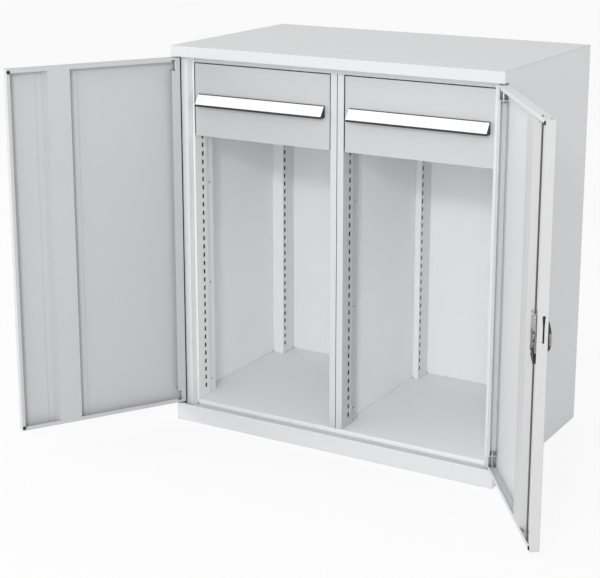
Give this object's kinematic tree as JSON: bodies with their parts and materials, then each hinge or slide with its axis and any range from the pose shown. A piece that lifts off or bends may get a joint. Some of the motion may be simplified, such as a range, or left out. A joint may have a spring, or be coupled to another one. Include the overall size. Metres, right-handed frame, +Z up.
{
  "type": "tool cabinet with doors",
  "caption": "Sheet-steel tool cabinet with hinged doors, rod lock, slotted uprights, middle partition and a full-width drawer above each bay.",
  "frame": {"origin": "middle of the base footprint, on the floor", "axes": "+Z up, -Y towards the doors, +X to the right seen from the front"},
  "size_m": [1.5413, 1.0157, 1.1],
  "materials": {
    "powder_coat": "light grey powder coat, fine grain, satin",
    "powder_coat_inner": "light grey powder coat, satin",
    "powder_coat_drawer": "light grey powder coat, satin",
    "black_plastic": "fine grained, matt",
    "label_white": "smooth strip",
    "rubber": "matt",
    "dark_steel": "drawn flat bar, dark",
    "plug_metal": "satin nickel",
    "zinc_steel": "zinc plated"
  },
  "bodies": {
    "cabinet": {"lid": "powder_coat", "side_panel_left": "powder_coat", "side_panel_right": "powder_coat", "back_panel": "powder_coat", "floor_panel": "powder_coat_inner", "base_runner": "powder_coat", "plinth_front": "powder_coat", "top_rail": "powder_coat", "front_upright_left": "powder_coat_inner", "front_upright_right": "powder_coat_inner", "rear_upright_left": "powder_coat_inner", "rear_upright_right": "powder_coat_inner", "partition_front_left": "powder_coat_inner", "partition_front_right": "powder_coat_inner", "partition_rear_left": "powder_coat_inner", "partition_rear_right": "powder_coat_inner", "partition_sheet": "powder_coat_inner", "hinge_plate_top_left": "zinc_steel", "hinge_plate_top_right": "zinc_steel", "hinge_plate_bottom_left": "zinc_steel", "hinge_plate_bottom_right": "zinc_steel", "cabinet_slides_left": "zinc_steel", "cabinet_slides_right": "zinc_steel"},
    "left_door": {"door_left": "powder_coat", "door_left_stiffener": "powder_coat", "door_left_hinge_bolts": "zinc_steel", "door_left_bolt_saddles": "zinc_steel", "door_left_buffers": "rubber"},
    "right_door": {"door_right": "powder_coat", "door_right_stiffener": "powder_coat", "door_right_hinge_bolts": "zinc_steel", "door_right_bolt_saddles": "zinc_steel", "door_right_buffers": "rubber", "lock_case": "zinc_steel", "lock_screws": "zinc_steel", "knob_plate": "black_plastic", "rod_guide": "black_plastic", "edge_insert": "black_plastic"},
    "lock_handle": {"turn_knob": "black_plastic", "knob_grip": "plug_metal", "lock_spindle": "zinc_steel", "lock_cam": "zinc_steel"},
    "lock_plug": {"key_plug": "plug_metal"},
    "upper_rod": {"rod_upper": "dark_steel"},
    "lower_rod": {"rod_lower": "dark_steel"},
    "left_drawer": {"drawer_front_left": "powder_coat_drawer", "drawer_tray_left": "powder_coat_drawer", "drawer_handle_left": "black_plastic", "label_strip_left": "label_white", "handle_caps_left": "black_plastic", "drawer_slides_left": "zinc_steel"},
    "left_middle_slides": {"middle_slides_left": "zinc_steel"},
    "right_drawer": {"drawer_front_right": "powder_coat_drawer", "drawer_tray_right": "powder_coat_drawer", "drawer_handle_right": "black_plastic", "label_strip_right": "label_white", "handle_caps_right": "black_plastic", "drawer_slides_right": "zinc_steel"},
    "right_middle_slides": {"middle_slides_right": "zinc_steel"}
  },
  "joints": [
    {"name": "left_door_hinge", "type": "hinge", "parent": "cabinet", "child": "left_door", "pos_m": [-0.4925, -0.288, 0.56], "axis": [0, 0, -1], "range_deg": [-121, 9]},
    {"name": "right_door_hinge", "type": "hinge", "parent": "cabinet", "child": "right_door", "pos_m": [0.4925, -0.288, 0.56], "axis": [0, 0, 1], "range_deg": [-125, 5]},
    {"name": "lock_turn", "type": "hinge", "parent": "right_door", "child": "lock_handle", "pos_m": [0.76253, -0.644, 0.564], "axis": [-0.8192, -0.5736, 0], "range_deg": [-90, 0]},
    {"name": "key_turn", "type": "hinge", "parent": "lock_handle", "child": "lock_plug", "pos_m": [0.76253, -0.644, 0.564], "axis": [-0.8192, -0.5736, 0], "range_deg": [0, 90]},
    {"name": "upper_rod_slide", "type": "slide", "parent": "right_door", "child": "upper_rod", "axis": [0, 0, -1], "range_m": [-0.02, 0]},
    {"name": "lower_rod_slide", "type": "slide", "parent": "right_door", "child": "lower_rod", "axis": [0, 0, 1], "range_m": [-0.02, 0]},
    {"name": "left_drawer_slide", "type": "slide", "parent": "cabinet", "child": "left_drawer", "axis": [0, -1, 0], "range_m": [0, 0.44]},
    {"name": "left_middle_slide", "type": "slide", "parent": "cabinet", "child": "left_middle_slides", "axis": [0, -1, 0], "range_m": [0, 0.22]},
    {"name": "right_drawer_slide", "type": "slide", "parent": "cabinet", "child": "right_drawer", "axis": [0, -1, 0], "range_m": [0, 0.44]},
    {"name": "right_middle_slide", "type": "slide", "parent": "cabinet", "child": "right_middle_slides", "axis": [0, -1, 0], "range_m": [0, 0.22]}
  ],
  "couplings": [
    {"joint": "lock_turn", "follows": "upper_rod_slide", "rad_per_m": 78.539},
    {"joint": "lower_rod_slide", "follows": "upper_rod_slide", "ratio": 1},
    {"joint": "left_middle_slide", "follows": "left_drawer_slide", "ratio": 0.5},
    {"joint": "right_middle_slide", "follows": "right_drawer_slide", "ratio": 0.5}
  ]
}
